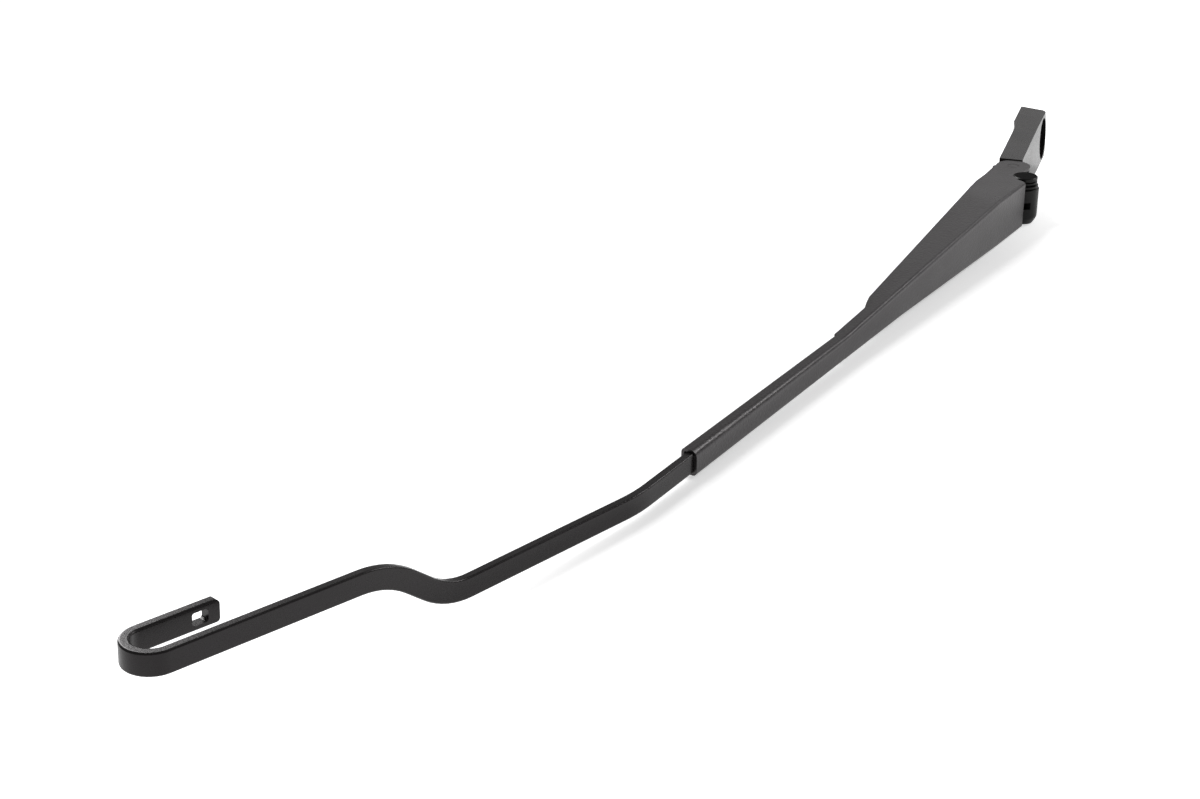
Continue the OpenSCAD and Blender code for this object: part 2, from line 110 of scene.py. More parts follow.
def add_node(
    tree: Tree,
    kind: str,
    inputs: Optional[dict[Any, Any]] = None,
    **settings: Any,
) -> bpy.types.Node:
    """Adds a shader node with its settings, values and links.

    Args:
        tree: the node tree that takes the node.
        kind: the node's type name.
        inputs: socket name or number to a plain value, or to the socket that feeds it.
        settings: properties of the node itself.

    Returns:
        The new node.
    """
    made = tree.nodes.new(kind)
    for name, value in settings.items():
        setattr(made, name, value)
    for socket, value in (inputs or {}).items():
        if isinstance(value, bpy.types.NodeSocket):
            tree.links.new(value, made.inputs[socket])
        else:
            made.inputs[socket].default_value = value
    return made


def new_material(name: str) -> bpy.types.Material:
    """Makes a material whose node tree is empty."""
    material = bpy.data.materials.new(name)
    material.use_nodes = True
    material.node_tree.nodes.clear()
    return material


def per_mm(size: float) -> float:
    """Gives the texture scale whose features are about the given size in millimetres."""
    return 1 / (size * MM)


def noise(tree: Tree, place: Socket, size_mm: float, detail: float) -> Socket:
    """Adds a noise with features of about the given size."""
    inputs = {"Vector": place, "Scale": per_mm(size_mm), "Detail": detail}
    return add_node(tree, "ShaderNodeTexNoise", inputs).outputs["Fac"]


def blend(tree: Tree, share: Socket, dark: str, light: str) -> Socket:
    """Adds a tone between two hex colours."""
    inputs = {"Factor": share, "A": from_hex(dark), "B": from_hex(light)}
    return add_node(tree, "ShaderNodeMix", inputs, data_type="RGBA").outputs[2]


def bump(
    tree: Tree,
    height: Socket,
    depth_mm: float,
    strength: float = 1.0,
    under: Optional[Socket] = None,
) -> Socket:
    """Adds a relief of the given depth, on top of another one where there is one."""
    inputs = {"Height": height, "Strength": strength, "Distance": depth_mm * MM}
    if under is not None:
        inputs["Normal"] = under
    return add_node(tree, "ShaderNodeBump", inputs).outputs["Normal"]


def map_range(
    tree: Tree,
    value: Socket,
    low: float,
    high: float,
    span: tuple[float, float] = (0.0, 1.0),
    **settings: Any,
) -> Socket:
    """Maps a value to between low and high.

    Args:
        tree: the node tree.
        value: the value to map.
        low: what the span's start becomes.
        high: what the span's end becomes.
        span: the part of the value's range that is mapped.
        settings: properties of the node itself.

    Returns:
        The mapped value.
    """
    inputs = {
        "Value": value,
        "From Min": span[0],
        "From Max": span[1],
        "To Min": low,
        "To Max": high,
    }
    return add_node(tree, "ShaderNodeMapRange", inputs, **settings).outputs["Result"]


# Kinds of finish


@dataclass(frozen=True, kw_only=True)
class Finish:
    """A finish that can be put on a piece: each kind builds its own material once.

    Its tone drifts between a dark and a light hex colour, and its roughness by a little below
    and above its middle value.
    """

    name: str
    dark: str
    light: str
    roughness: float
    roughness_drift: tuple[float, float] = (0.0, 0.0)

    def build(self) -> bpy.types.Material:
        """Makes the material, or returns the one made before."""
        known = bpy.data.materials.get(self.name)
        if known:
            return known
        material = new_material(self.name)
        tree = material.node_tree
        place = add_node(tree, "ShaderNodeTexCoord").outputs["Object"]
        shader = self.shade(tree, place)
        add_node(tree, "ShaderNodeOutputMaterial", {"Surface": shader.outputs[0]})
        return material

    def shade(self, tree: Tree, place: Socket) -> bpy.types.Node:
        """Builds the nodes on the object's own coordinates and returns the surface shader."""
        raise NotImplementedError

    def sheen(self, tree: Tree, value: Socket, span: tuple[float, float] = (0.0, 1.0)) -> Socket:
        """Lets the roughness drift with a value."""
        below, above = self.roughness_drift
        return map_range(tree, value, self.roughness + below, self.roughness + above, span)


@dataclass(frozen=True, kw_only=True)
class BlackCoat(Finish):
    """A thin black coat over metal, sprayed or dipped and baked.

    It dries with a faint orange peel over the grain of the metal below, and its tone drifts
    a little from place to place.
    """

    peel_mm: float
    peel_depth_mm: float
    grain_depth_mm: float
    specular: float
    grain_mm: float = 0.6
    drift_mm: float = 30.0
    grain_share: float = 0.4
    speck_span: tuple[float, float] = (0.3, 0.7)
    roughness_drift: tuple[float, float] = (-0.05, 0.06)
    tint: str = "#fffafc"

    def shade(self, tree: Tree, place: Socket) -> bpy.types.Node:
        """Builds the coat: tone, sheen, orange peel and grain."""
        drift = noise(tree, place, self.drift_mm, detail=4.0)
        peel = noise(tree, place, self.peel_mm, detail=2.0)
        grain = noise(tree, place, self.grain_mm, detail=3.0)
        mixed = {"Factor": self.grain_share, "A": drift, "B": grain}
        speck = add_node(tree, "ShaderNodeMix", mixed, data_type="FLOAT").outputs["Result"]
        metal = bump(tree, grain, self.grain_depth_mm)
        return add_node(
            tree,
            "ShaderNodeBsdfPrincipled",
            {
                "Base Color": blend(tree, speck, self.dark, self.light),
                "Roughness": self.sheen(tree, speck, self.speck_span),
                "Specular IOR Level": self.specular,
                "Specular Tint": from_hex(self.tint),
                "IOR": PLASTIC_INDEX,
                "Normal": bump(tree, peel, self.peel_depth_mm, under=metal),
            },
        )


@dataclass(frozen=True, kw_only=True)
class MouldedPlastic(Finish):
    """Injection-moulded plastic: an even skin with a spark-eroded grain from its mould."""

    grain_mm: float
    grain_depth_mm: float
    specular: float = 0.5
    drift_mm: float = 8.0
    roughness_drift: tuple[float, float] = (-0.04, 0.06)

    def shade(self, tree: Tree, place: Socket) -> bpy.types.Node:
        """Builds the plastic: a near-even tone and the mould's grain."""
        drift = noise(tree, place, self.drift_mm, detail=3.0)
        cells = {"Vector": place, "Scale": per_mm(self.grain_mm)}
        grain = add_node(tree, "ShaderNodeTexVoronoi", cells).outputs["Distance"]
        return add_node(
            tree,
            "ShaderNodeBsdfPrincipled",
            {
                "Base Color": blend(tree, drift, self.dark, self.light),
                "Roughness": self.sheen(tree, drift),
                "Specular IOR Level": self.specular,
                "IOR": PLASTIC_INDEX,
                "Normal": bump(tree, grain, self.grain_depth_mm),
            },
        )


@dataclass(frozen=True, kw_only=True)
class BareSteel(Finish):
    """Steel without paint: drawn, turned or plated, with fine marks along one axis."""

    mark_mm: float
    mark_depth_mm: float = 0.01
    mark_strength: float = 0.6
    along: tuple[float, float, float] = (1.0, 0.05, 1.0)
    roughness_drift: tuple[float, float] = (-0.08, 0.1)

    def shade(self, tree: Tree, place: Socket) -> bpy.types.Node:
        """Builds the metal: drifting tone and stretched tool marks."""
        drawn_out = {"Vector": place, "Scale": self.along}
        stretched = add_node(tree, "ShaderNodeMapping", drawn_out).outputs["Vector"]
        marks = noise(tree, stretched, self.mark_mm, detail=3.0)
        return add_node(
            tree,
            "ShaderNodeBsdfPrincipled",
            {
                "Base Color": blend(tree, marks, self.dark, self.light),
                "Metallic": 1.0,
                "Roughness": self.sheen(tree, marks),
                "Normal": bump(tree, marks, self.mark_depth_mm, strength=self.mark_strength),
            },
        )


# Finishes
# The real grain, orange peel and tool marks are a few hundredths to a few tenths of a millimetre
# wide. That is too fine for the picture, so each is drawn coarser here.

# A baked satin coat on pressed sheet: an even charcoal black with a soft sheen
SHEET_COAT = BlackCoat(
    name="satin_black_coat_on_pressed_sheet",
    dark="#191617",
    light="#1f1b1c",
    roughness=0.32,
    peel_mm=1.3,
    peel_depth_mm=0.12,
    grain_depth_mm=0.06,
    specular=0.66,
)
# The same coat on drawn bar: smoother, with a line of light on its edges, and a little darker as
# painted shade
BAR_COAT_PAINTED_DARKER = BlackCoat(
    name="satin_black_coat_on_drawn_bar_painted_darker",
    dark="#161414",
    light="#1b1819",
    roughness=0.26,
    peel_mm=1.3,
    peel_depth_mm=0.03,
    grain_depth_mm=0.015,
    specular=0.34,
)
# The coat over a die casting: the sand-like grain of the casting shows through it
CAST_COAT = BlackCoat(
    name="satin_black_coat_on_die_casting",
    dark="#181616",
    light="#1f1c1c",
    roughness=0.25,
    peel_mm=1.1,
    peel_depth_mm=0.05,
    grain_depth_mm=0.03,
    specular=0.25,
)
# Acetal moulding: deeper black and shinier than the coat round it
BLACK_ACETAL = MouldedPlastic(
    name="black_moulded_acetal",
    dark="#080808",
    light="#0d0d0d",
    roughness=0.34,
    grain_mm=0.6,
    grain_depth_mm=0.02,
    specular=0.24,
)
# The cover's end disc has a coarse, dull skin from its mould: nearly no sheen
COARSE_ACETAL = MouldedPlastic(
    name="coarse_black_moulded_acetal",
    dark="#060606",
    light="#121112",
    roughness=0.6,
    grain_mm=1.2,
    grain_depth_mm=0.08,
    specular=0.04,
)
# Natural nylon bush: creamy and dull
NATURAL_NYLON = MouldedPlastic(
    name="natural_nylon",
    dark="#cfc9b4",
    light="#ddd8c6",
    roughness=0.5,
    grain_mm=0.3,
    grain_depth_mm=0.004,
)
# Turned pin steel with a phosphate film: dull grey
PIN_STEEL = BareSteel(
    name="phosphated_pin_steel",
    dark="#6b6a66",
    light="#8a8983",
    roughness=0.42,
    mark_mm=0.3,
)
# Zinc-plated strip: pale with a trace of yellow
LINK_STEEL = BareSteel(
    name="zinc_plated_strip_steel",
    dark="#8d8a7c",
    light="#aaa798",
    roughness=0.38,
    mark_mm=0.5,
    along=(0.08, 1.0, 1.0),
)
# Oiled spring wire: dark grey with soft glints on each coil
SPRING_STEEL = BareSteel(
    name="oiled_spring_wire",
    dark="#4a4947",
    light="#6c6b68",
    roughness=0.34,
    mark_mm=0.25,
    along=(1.0, 1.0, 1.0),
)


# Meshes


def put_in_scene(name: str, shape: Shape) -> bpy.types.Object:
    """Turns a bmesh into an object at the origin.

    Args:
        name: the piece's name.
        shape: the finished bmesh, which is freed.

    Returns:
        The new object, with its place in its mesh.
    """
    mesh = bpy.data.meshes.new(name)
    shape.to_mesh(mesh)
    shape.free()
    piece = bpy.data.objects.new(name, mesh)
    bpy.context.scene.collection.objects.link(piece)
    return piece


def smooth_by_angle(piece: bpy.types.Object, degrees: float) -> None:
    """Shades a piece smooth, apart from the edges that are sharper than an angle."""
    mesh = piece.data
    mesh.shade_smooth()
    mesh.set_sharp_from_angle(angle=math.radians(degrees))


def soften_edges(
    piece: bpy.types.Object,
    width_mm: float,
    segments: int,
    sharper_than_degrees: float = 38,
    flat_face_weight: int = 60,
) -> None:
    """Rounds a piece's sharp edges and evens its shading.

    Args:
        piece: the piece.
        width_mm: how far the rounding reaches from each edge.
        segments: faces across the rounding.
        sharper_than_degrees: only edges sharper than this are rounded.
        flat_face_weight: how much the large faces decide the shading.
    """
    bevel = piece.modifiers.new("rounded_edges", "BEVEL")
    bevel.width = width_mm * MM
    bevel.segments = segments
    bevel.limit_method = "ANGLE"
    bevel.angle_limit = math.radians(sharper_than_degrees)
    bevel.use_clamp_overlap = True
    bevel.harden_normals = False
    bevel.miter_outer = "MITER_ARC"
    even = piece.modifiers.new("even_shading", "WEIGHTED_NORMAL")
    even.keep_sharp = False
    even.weight = flat_face_weight


def cut_across(shape: Shape, place: Vector, ahead: Vector) -> None:
    """Gives a shape a row of edges where the plane through a place, square to ahead, cuts it."""
    bmesh.ops.bisect_plane(
        shape,
        geom=shape.verts[:] + shape.edges[:] + shape.faces[:],
        dist=0.001 * MM,
        plane_co=place,
        plane_no=ahead,
    )


def settle(piece: bpy.types.Object, body: str, finish: Finish) -> None:
    """Puts a finish on a piece and lets it ride on its body."""
    piece.data.materials.clear()
    piece.data.materials.append(finish.build())
    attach(piece, body)
    LOG.info("%s rides on %s, finish %s", piece.name, body, finish.name)


def dressed_copy(
    frame: dict[str, Any],
    node: str,
    name: str,
    body: str,
    finish: Finish,
    edge_mm: float = 0.25,
    segments: int = 2,
    reshape: Optional[Callable[[Shape], None]] = None,
    same_place_mm: float = 0.002,
    flat_degrees: float = 0.4,
    smooth_degrees: float = 35,
) -> bpy.types.Object:
    """Makes the piece that stands for a solid: its merged copy, with rounded edges and a finish.

    Args:
        frame: the loaded frame.
        node: the solid's name.
        name: the new piece's name.
        body: the moving body that carries it.
        finish: the finish that it gets.
        edge_mm: how far the rounding reaches from each sharp edge.
        segments: faces across the rounding.
        reshape: changes the merged copy before its edges are rounded.
        same_place_mm: corners nearer than this become one.
        flat_degrees: faces that meet at less than this become one.
        smooth_degrees: edges sharper than this stay sharp in the shading.

    Returns:
        The new piece.
    """
    shape = bmesh.new()
    shape.from_mesh(frame["nodes"][node].data)
    bmesh.ops.remove_doubles(shape, verts=shape.verts, dist=same_place_mm * MM)
    bmesh.ops.dissolve_limit(
        shape,
        angle_limit=math.radians(flat_degrees),
        verts=shape.verts,
        edges=shape.edges,
        use_dissolve_boundaries=False,
    )
    if reshape:
        reshape(shape)
    piece = put_in_scene(name, shape)
    smooth_by_angle(piece, smooth_degrees)
    soften_edges(piece, edge_mm, segments)
    settle(piece, body, finish)
    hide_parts(node)
    return piece


# Sub-assemblies


class Body(Enum):
    """The moving bodies of the arm."""

    HEAD = "head"
    ARM = "arm"
    LINK = "link"


@dataclass
class ArmFrame:
    """The arm's own frame: origin on the hinge pin, X to the tip, Z outwards."""

    pin_x_mm: float = 95.0
    pin_z_mm: float = 11.3
    drop_degrees: float = 13.8

    def matrix(self) -> Matrix:
        """Gives the matrix from the arm's frame, in metres, to the shared frame."""
        return Matrix.Translation(mm(self.pin_x_mm, 0, self.pin_z_mm)) @ Matrix.Rotation(
            math.radians(self.drop_degrees), 4, "Y"
        )

    def move_corners(self, shape: Shape, move: Callable[[Vector], Optional[Vector]]) -> None:
        """Moves a shape's corners by a rule that is written in this frame, in metres.

        Args:
            shape: the shape, in the shared frame.
            move: gives a corner's new place for its old one, or None where it stays.
        """
        to_world = self.matrix()
        to_arm = to_world.inverted()
        for vert in shape.verts:
            moved = move(to_arm @ vert.co)
            if moved is not None:
                vert.co = to_world @ moved


@dataclass
class MountingHead:
    """The cast head, its nylon bushes and the pin of the spring's link.

    In the photograph the head's top rises a little round the nut's recess, and its edge is round
    at the end.
    """

    frame: dict[str, Any]
    edge_mm: float = 0.5
    edge_segments: int = 3
    bush_edge_mm: float = 0.12
    top_mm: float = 15.0
    end_x_mm: float = -20.0
    half_width_mm: float = 13.5
    rise_across_mm: float = 1.35
    rise_along_mm: float = 0.6
    rise_from_x_mm: float = 60.0
    rise_full_x_mm: float = 20.0
    recess_mm: float = 14.0
    corner_mm: float = 3.0
    corner_segments: int = 5

    def rise_at(self, x_mm: float, y_mm: float) -> float:
        """Gives how far the top rises at a place: towards its far side, and towards its end."""
        across = share_of_way(y_mm, -self.half_width_mm, self.half_width_mm)
        along = share_of_way(x_mm, self.rise_full_x_mm, self.end_x_mm)
        rise = self.rise_across_mm * across + self.rise_along_mm * along
        return rise * share_of_way(x_mm, self.rise_from_x_mm, self.rise_full_x_mm)

    def on_top(self, vert: bmesh.types.BMVert) -> bool:
        """Tells whether a corner is on the head's top."""
        return vert.co.z > self.top_mm * MM

    def on_end(self, vert: bmesh.types.BMVert) -> bool:
        """Tells whether a corner is on the top at the head's end, outside the recess."""
        outside = vert.co.xy.length > self.recess_mm * MM
        return self.on_top(vert) and vert.co.x < 0 and outside

    def lift_top(self, shape: Shape) -> None:
        """Lets the head's top rise round the recess."""
        for x_mm in (self.rise_from_x_mm, self.rise_full_x_mm):
            cut_across(shape, mm(x_mm, 0, 0), Vector((1, 0, 0)))
        for vert in shape.verts:
            if self.on_top(vert):
                vert.co.z += self.rise_at(vert.co.x / MM, vert.co.y / MM) * MM

    def round_end(self, shape: Shape) -> None:
        """Rounds the edges where the head's top meets its end."""
        edges = []
        for edge in shape.edges:
            run = edge.verts[0].co - edge.verts[1].co
            if all(self.on_end(vert) for vert in edge.verts) and abs(run.y) > abs(run.x):
                edges.append(edge)
        bmesh.ops.bevel(
            shape,
            geom=edges,
            offset=self.corner_mm * MM,
            offset_type="OFFSET",
            affect="EDGES",
            segments=self.corner_segments,
            profile=0.5,
            material=-1,
            clamp_overlap=True,
        )

    def reshape(self, shape: Shape) -> None:
        """Makes both changes."""
        self.lift_top(shape)
        self.round_end(shape)

    def build(self) -> None:
        """Builds the head and its small parts."""
        dressed_copy(
            self.frame, "mounting_head", "cast_head", Body.HEAD.value,
            CAST_COAT, edge_mm=self.edge_mm, segments=self.edge_segments, reshape=self.reshape,
        )
        for side in ("near", "far"):
            dressed_copy(
                self.frame, f"bush_{side}", f"hinge_bush_{side}", Body.HEAD.value,
                NATURAL_NYLON, edge_mm=self.bush_edge_mm,
            )
        dressed_copy(
            self.frame, "link_pin", "spring_link_pin", Body.HEAD.value, PIN_STEEL,
        )


@dataclass
class Hood:
    """The pressed hood with its folded channel, the hinge pin and the plastic cover.

    In the photograph the walls' lower edge has a corner, past which it runs straight to the
    channel. The channel's mouth reaches further than the solid's, and its near corner is rounder
    there. Places are in the arm's frame.
    """

    frame: dict[str, Any]
    edge_mm: float = 0.3
    small_edge_mm: float = 0.35
    # Where along the arm the walls' lower edge is raised, and by how much
    trim_mm: tuple[tuple[float, float], ...] = (
        (8.0, 0.0), (22.5, 0.7), (33.0, 0.0), (45.0, 0.3), (58.0, 1.0), (110.0, 0.0),
    )
    trim_corner_x_mm: float = 33.0
    # The walls stay as they are above the first level and move in full below the second
    wall_foot_mm: tuple[float, float] = (-2.0, -5.0)
    mouth_x_mm: float = 377.5
    mouth_reach_mm: float = 1.5
    mouth_drop_mm: float = 0.8
    lip_z_mm: float = 12.0
    # The near corner's centre in Y and Z, and its radius before and after
    corner_centre_mm: tuple[float, float] = (0.55, 14.7)
    corner_radii_mm: tuple[float, float] = (1.9, 3.6)
    side_slack_mm: float = 0.02
    arc_slack_mm: float = 0.06
    disc_y_mm: float = 12.0
    disc_facing: float = 0.95

    def trim_at(self, x_mm: float) -> float:
        """Gives how far the walls' lower edge is raised at a place along the arm."""
        for (x_0, trim_0), (x_1, trim_1) in zip(self.trim_mm, self.trim_mm[1:]):
            if x_0 <= x_mm <= x_1:
                return trim_0 + (trim_1 - trim_0) * (x_mm - x_0) / (x_1 - x_0)
        return 0.0

    def trim_wall(self, place: Vector) -> Vector:
        """Raises a corner of the hood where it is on the walls' lower edge."""
        top, foot = self.wall_foot_mm
        place.z += share_of_way(place.z / MM, top, foot) * self.trim_at(place.x / MM) * MM
        return place

    def shape_mouth(self, place: Vector) -> Optional[Vector]:
        """Moves a corner of the hood where it is at the channel's mouth."""
        place = place / MM
        if place.x < self.mouth_x_mm:
            return None
        old, new = self.corner_radii_mm
        centre_y, centre_z = self.corner_centre_mm
        out = Vector((place.y - centre_y, place.z - centre_z))
        in_corner = out.x < self.side_slack_mm and out.y > -self.side_slack_mm
        if in_corner and abs(out.length - old) < self.arc_slack_mm:
            place.y = centre_y + new - old + out.x / old * new
            place.z = centre_z - new + old + out.y / old * new
        elif place.z < self.lip_z_mm:
            place.z -= self.mouth_drop_mm
        place.x += self.mouth_reach_mm
        return place * MM

    def reshape(self, shape: Shape) -> None:
        """Shapes the mouth and trims the walls."""
        arm = ArmFrame()
        to_world = arm.matrix()
        arm.move_corners(shape, self.shape_mouth)
        ahead = to_world.to_3x3() @ Vector((1, 0, 0))
        cut_across(shape, to_world @ mm(self.trim_corner_x_mm, 0, 0), ahead)
        arm.move_corners(shape, self.trim_wall)

    def dull_disc(self, cover: bpy.types.Object) -> None:
        """Gives the cover's end disc its coarse skin."""
        cover.data.materials.append(COARSE_ACETAL.build())
        for face in cover.data.polygons:
            if face.normal.y < -self.disc_facing and face.center.y < -self.disc_y_mm * MM:
                face.material_index = 1

    def build(self) -> None:
        """Builds the hood, the pin and the cover."""
        dressed_copy(
            self.frame, "hood", "pressed_hood", Body.ARM.value, SHEET_COAT,
            edge_mm=self.edge_mm, reshape=self.reshape,
        )
        dressed_copy(
            self.frame, "hinge_pin", "staked_hinge_pin", Body.ARM.value, SHEET_COAT,
            edge_mm=self.small_edge_mm,
        )
        cover = dressed_copy(
            self.frame, "hinge_cover", "snap_in_cover", Body.ARM.value,
            BLACK_ACETAL, edge_mm=self.small_edge_mm,
        )
        self.dull_disc(cover)


@dataclass
class ArmBar:
    """The drawn flat bar with its crank and hook."""

    frame: dict[str, Any]
    edge_mm: float = 0.3

    def build(self) -> None:
        """Builds the bar."""
        dressed_copy(
            self.frame, "arm_bar", "cranked_bar", Body.ARM.value, BAR_COAT_PAINTED_DARKER,
            edge_mm=self.edge_mm,
        )


@dataclass
class CoilSpring:
    """The closed-coil tension spring: a true helix between its two hooks.

    Its own frame has the origin where its loop holds the link, and X along its axis. The places
    and sizes are those of the solid that it replaces.
    """

    wire_mm: float = 1.1
    coil_mm: float = 3.9
    first_mm: float = 12.0
    length_mm: float = 86.0
    turns: int = 37
    link_pin_mm: tuple[float, float] = (-3.466, -7.432)
    link_tail_mm: float = 54.0
    bar_hole_mm: tuple[float, float] = (198.0, 4.5)
    hook_level_mm: float = 9.85
    leg_mm: float = 4.3
    loop_degrees: float = 200.0
    tip_mm: float = 0.01
    steps_a_turn: int = 20
    wire_sides: int = 12
    ball_rows: int = 8
    smooth_degrees: float = 50.0

    def pull(self) -> tuple[float, float]:
        """Gives how far the bar's hole lies from the link's pin, along and out, in millimetres."""
        drop = math.radians(ArmFrame().drop_degrees)
        pin_x, pin_z = self.link_pin_mm
        along = self.bar_hole_mm[0] - (pin_x * math.cos(drop) - pin_z * math.sin(drop))
        out = self.hook_level_mm - (pin_x * math.sin(drop) + pin_z * math.cos(drop))
        return along, out

    def matrix(self) -> Matrix:
        """Gives the matrix from the spring's frame to the shared frame, in metres."""
        arm = ArmFrame()
        along, out = self.pull()
        pin_x, pin_z = self.link_pin_mm
        lean = math.radians(arm.drop_degrees) - math.atan2(out, along)
        skew = math.atan2(self.bar_hole_mm[1], math.hypot(along, out) - self.link_tail_mm)
        start = Matrix.Translation(mm(arm.pin_x_mm + pin_x, 0, arm.pin_z_mm + pin_z))
        tail = Matrix.Translation(mm(self.link_tail_mm, 0, 0))
        return start @ Matrix.Rotation(lean, 4, "Y") @ tail @ Matrix.Rotation(skew, 4, "Z")

    def pull_length(self) -> float:
        """Gives the length from the link's hole to the bar's hole, in millimetres."""
        flat = math.hypot(*self.pull()) - self.link_tail_mm
        return math.hypot(flat, self.bar_hole_mm[1])

    def ring(self, shape: Shape, place: Vector, ahead: Vector) -> list[Any]:
        """Adds a ring of the wire's section, square to a direction, and returns its parts."""
        turn = ahead.to_track_quat("Z", "Y").to_matrix().to_4x4()
        made = bmesh.ops.create_circle(
            shape,
            segments=self.wire_sides,
            radius=self.wire_mm * MM,
            matrix=Matrix.Translation(place) @ turn,
        )
        edges = {edge for vert in made["verts"] for edge in vert.link_edges}
        return made["verts"] + list(edges)

    def straight(self, shape: Shape, start: Vector, end: Vector) -> None:
        """Adds a straight run of wire with round ends."""
        geom = self.ring(shape, start, end - start)
        edges = [part for part in geom if isinstance(part, bmesh.types.BMEdge)]
        made = bmesh.ops.extrude_edge_only(shape, edges=edges)
        verts = [part for part in made["geom"] if isinstance(part, bmesh.types.BMVert)]
        bmesh.ops.translate(shape, verts=verts, vec=end - start)
        for place in (start, end):
            bmesh.ops.create_uvsphere(
                shape,
                u_segments=self.wire_sides,
                v_segments=self.ball_rows,
                radius=self.wire_mm * MM,
                matrix=Matrix.Translation(place),
            )

    def coils(self, shape: Shape, start: float, end: float) -> None:
        """Adds the helix from start to end along the axis, in millimetres."""
        steps = self.turns * self.steps_a_turn
        bmesh.ops.spin(
            shape,
            geom=self.ring(shape, mm(start, self.coil_mm, 0), Vector((0, 0, 1))),
            cent=(0, 0, 0),
            axis=(1, 0, 0),
            dvec=mm((end - start) / steps, 0, 0),
            angle=math.tau * self.turns,
            steps=steps,
            use_merge=False,
            use_duplicate=False,
        )

    def loop(self, shape: Shape) -> None:
        """Adds the open loop that holds the link, with a round tip."""
        coil = self.coil_mm
        angle = math.radians(self.loop_degrees)
        bmesh.ops.spin(
            shape,
            geom=self.ring(shape, mm(coil, coil, 0), Vector((1, 0, 0))),
            cent=mm(coil, 0, 0),
            axis=(0, 0, 1),
            dvec=(0, 0, 0),
            angle=angle,
            steps=self.steps_a_turn,
            use_merge=False,
            use_duplicate=False,
        )
        tip = Matrix.Rotation(angle, 3, "Z") @ mm(0, coil, 0) + mm(coil, 0, 0)
        self.straight(shape, tip, tip + mm(self.tip_mm, 0, 0))

    def build(self) -> bpy.types.Object:
        """Makes the spring: the coils, the loop at the link and the leg in the bar's hole."""
        shape = bmesh.new()
        coil = self.coil_mm
        start = self.first_mm + self.wire_mm
        end = self.first_mm + self.length_mm - self.wire_mm
        far = self.pull_length()
        self.coils(shape, start, end)
        self.loop(shape)
        self.straight(shape, mm(coil, coil, 0), mm(start, coil, 0))
        self.straight(shape, mm(end, coil, 0), mm(end, 0, 0))
        self.straight(shape, mm(end, 0, 0), mm(far, 0, 0))
        self.straight(shape, mm(far, 0, 0), mm(far, 0, self.leg_mm))
        bmesh.ops.recalc_face_normals(shape, faces=shape.faces)
        bmesh.ops.transform(shape, matrix=self.matrix(), verts=shape.verts)
        spring = put_in_scene("closed_coil_spring", shape)
        smooth_by_angle(spring, self.smooth_degrees)
        return spring


@dataclass
class SpringLinkage:
    """The strap link and the tension spring under the hood."""

    frame: dict[str, Any]
    edge_mm: float = 0.2

    def build(self) -> None:
        """Builds the link and the spring."""
        dressed_copy(
            self.frame, "spring_link", "bowed_spring_link", Body.LINK.value,
            LINK_STEEL, edge_mm=self.edge_mm,
        )
        spring = CoilSpring().build()
        settle(spring, Body.LINK.value, SPRING_STEEL)
        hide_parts("tension_spring")


# Stage


@dataclass
class PhotographCamera:
    """The camera fitted to the photograph's edges."""

    place_mm: tuple[float, float, float] = (1197.458, -379.644, 139.966)
    right: tuple[float, float, float] = (-0.31713, 0.00170, 0.94838)
    up: tuple[float, float, float] = (-0.40431, -0.90482, -0.13357)
    forward: tuple[float, float, float] = (-0.85788, 0.42580, -0.28764)
    focal_px: float = 2058.0
    centre_px: tuple[float, float] = (600.84, 402.69)
    frame_px: tuple[int, int] = (1200, 799)
    sensor_mm: float = 36.0
    clip_m: tuple[float, float] = (0.01, 50.0)

    def build(self) -> None:
        """Makes the camera and gives it to the scene."""
        data = bpy.data.cameras.new("photograph_camera")
        width, height = self.frame_px
        data.sensor_fit = "HORIZONTAL"
        data.sensor_width = self.sensor_mm
        data.lens = self.focal_px / width * self.sensor_mm
        data.shift_x = (width / 2 - self.centre_px[0]) / width
        data.shift_y = (self.centre_px[1] - height / 2) / width
        data.clip_start, data.clip_end = self.clip_m
        camera = bpy.data.objects.new("photograph_camera", data)
        turn = Matrix((self.right, self.up, -Vector(self.forward))).transposed()
        camera.matrix_world = Matrix.Translation(mm(*self.place_mm)) @ turn.to_4x4()
        bpy.context.scene.collection.objects.link(camera)
        bpy.context.scene.camera = camera


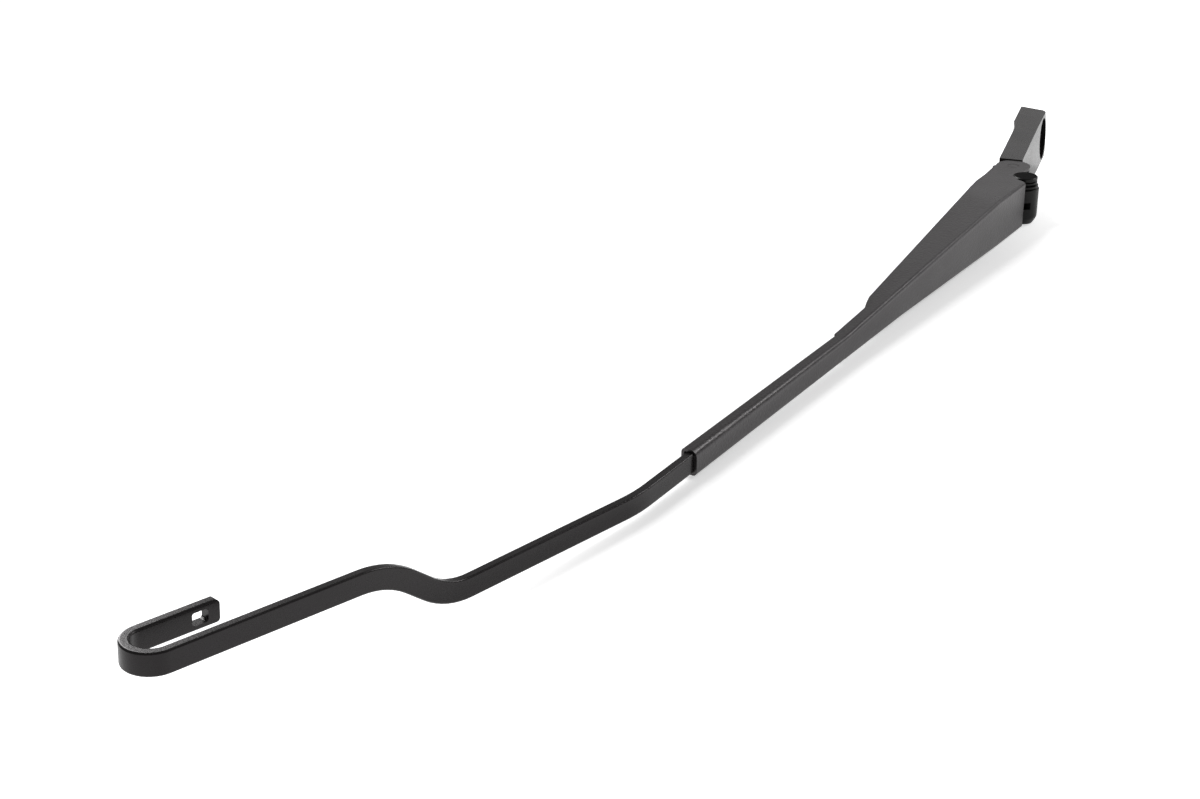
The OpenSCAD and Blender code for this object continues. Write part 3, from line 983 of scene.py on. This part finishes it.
@dataclass
class Table:
    """The white table top, in the plane on which the arm's near side lies.

    The arm leans on the long edge of its roof, so that the head and the hook stand off the table.
    For the camera it is painted brighter far from the arm, painting out the head's and hook's
    shadows.
    """

    touch_mm: tuple[float, float, float] = (121.82, 13.4, 21.86)
    normal: tuple[float, float, float] = (-0.0567, -0.9781, -0.2002)
    reach_mm: float = 20000.0
    tone: str = "#f6f6f6"
    # Painted light: the camera's lift rises from near_lift to the far value with the distance from
    # this middle, which paints out the shadows far from the arm
    middle_mm: tuple[float, float, float] = (330.0, 14.0, -50.0)
    near_mm: float = 150.0
    near_lift: float = 0.46
    far_mm: float = 320.0
    far_painted_fill: float = 0.85

    def build(self) -> None:
        """Makes the table top and its material."""
        shape = bmesh.new()
        bmesh.ops.create_grid(shape, x_segments=1, y_segments=1, size=self.reach_mm / 2 * MM)
        turn = Vector(self.normal).to_track_quat("Z", "Y").to_matrix()
        bmesh.ops.rotate(shape, verts=shape.verts, cent=(0, 0, 0), matrix=turn)
        bmesh.ops.translate(shape, verts=shape.verts, vec=mm(*self.touch_mm))
        top = put_in_scene("table_top", shape)
        top.data.materials.append(self.paper())

    def lift_with_painted_fill(self, tree: Tree) -> Socket:
        """Builds the lift, which only the camera, reflections and refractions see."""
        place = add_node(tree, "ShaderNodeTexCoord").outputs["Object"]
        away = add_node(
            tree,
            "ShaderNodeVectorMath",
            {0: place, 1: tuple(mm(*self.middle_mm))},
            operation="DISTANCE",
        ).outputs["Value"]
        span = (self.near_mm * MM, self.far_mm * MM)
        # Painted light: for the camera the lift grows away from the arm's middle and hides the
        # shadows there
        lift = map_range(
            tree, away, self.near_lift, self.far_painted_fill, span, interpolation_type="SMOOTHSTEP"
        )
        light_path = add_node(tree, "ShaderNodeLightPath").outputs
        strength = add_node(
            tree, "ShaderNodeMath", {0: light_path["Is Camera Ray"], 1: lift}, operation="MULTIPLY"
        ).outputs[0]
        for ray in ("Is Glossy Ray", "Is Transmission Ray"):
            strength = add_node(
                tree,
                "ShaderNodeMath",
                {0: light_path[ray], 1: self.near_lift, 2: strength},
                operation="MULTIPLY_ADD",
            ).outputs[0]
        lit = {"Color": WHITE, "Strength": strength}
        return add_node(tree, "ShaderNodeEmission", lit).outputs[0]

    def paper(self) -> bpy.types.Material:
        """Makes the table's material: matt white from its face, clear from behind."""
        material = new_material("white_table")
        tree = material.node_tree
        matt = add_node(tree, "ShaderNodeBsdfDiffuse", {"Color": from_hex(self.tone)}).outputs[0]
        face = add_node(tree, "ShaderNodeAddShader", {0: matt, 1: self.lift_with_painted_fill(tree)}).outputs[0]
        clear = add_node(tree, "ShaderNodeBsdfTransparent").outputs[0]
        behind = add_node(tree, "ShaderNodeNewGeometry").outputs["Backfacing"]
        sides = {"Fac": behind, 1: face, 2: clear}
        surface = add_node(tree, "ShaderNodeMixShader", sides).outputs[0]
        add_node(tree, "ShaderNodeOutputMaterial", {"Surface": surface})
        return material


@dataclass
class Panel:
    """One soft light panel: its place and aim in millimetres, its height square to the table."""

    name: str
    watts: float
    width_m: float
    height_m: float
    place_mm: tuple[float, float, float]
    aim_mm: tuple[float, float, float]

    def build(self) -> None:
        """Makes the panel and turns it to its aim."""
        data = bpy.data.lights.new(self.name, "AREA")
        data.shape = "RECTANGLE"
        data.size = self.width_m
        data.size_y = self.height_m
        data.energy = self.watts
        panel = bpy.data.objects.new(self.name, data)
        place = mm(*self.place_mm)
        ahead = (mm(*self.aim_mm) - place).normalized()
        side = ahead.cross(Vector((0, -1, 0))).normalized()
        turn = Matrix((side, side.cross(ahead), -ahead)).transposed()
        panel.matrix_world = Matrix.Translation(place) @ turn.to_4x4()
        bpy.context.scene.collection.objects.link(panel)


@dataclass
class StudioLight:
    """A dim even room, a key panel to the left, a faint one behind, and a small one to the right."""

    room: float = 0.25
    panels: tuple[Panel, ...] = (
        Panel("key_panel", 40.0, 0.9, 1.8, (-626.0, -957.0, -1533.0), (330.0, 0.0, -60.0)),
        Panel("back_panel", 2.6, 1.8, 0.85, (-1644.0, -825.0, 319.0), (150.0, 0.0, 0.0)),
        Panel("rim_panel", 6.0, 0.5, 0.5, (-674.0, -1075.0, 979.0), (330.0, 0.0, -60.0)),
    )

    def build(self) -> None:
        """Makes the room's light and the panels."""
        world = bpy.data.worlds.new("studio_room")
        world.use_nodes = True
        tree = world.node_tree
        tree.nodes.clear()
        walls = add_node(tree, "ShaderNodeBackground", {"Color": WHITE, "Strength": self.room})
        add_node(tree, "ShaderNodeOutputWorld", {"Surface": walls.outputs[0]})
        bpy.context.scene.world = world
        for panel in self.panels:
            panel.build()


def main() -> None:
    """Builds the stage and each sub-assembly in order."""
    logging.basicConfig(level=logging.INFO, format="%(name)s: %(message)s")
    bpy.context.scene.view_settings.view_transform = "Standard"
    for leftover in list(bpy.data.objects):
        if leftover.name in ("Cube", "Light", "Camera"):
            bpy.data.objects.remove(leftover)
    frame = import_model()
    PhotographCamera().build()
    Table().build()
    StudioLight().build()
    for part in (MountingHead(frame), Hood(frame), ArmBar(frame), SpringLinkage(frame)):
        part.build()
        LOG.info("%s is built", type(part).__name__)


if __name__ == "__main__":
    main()
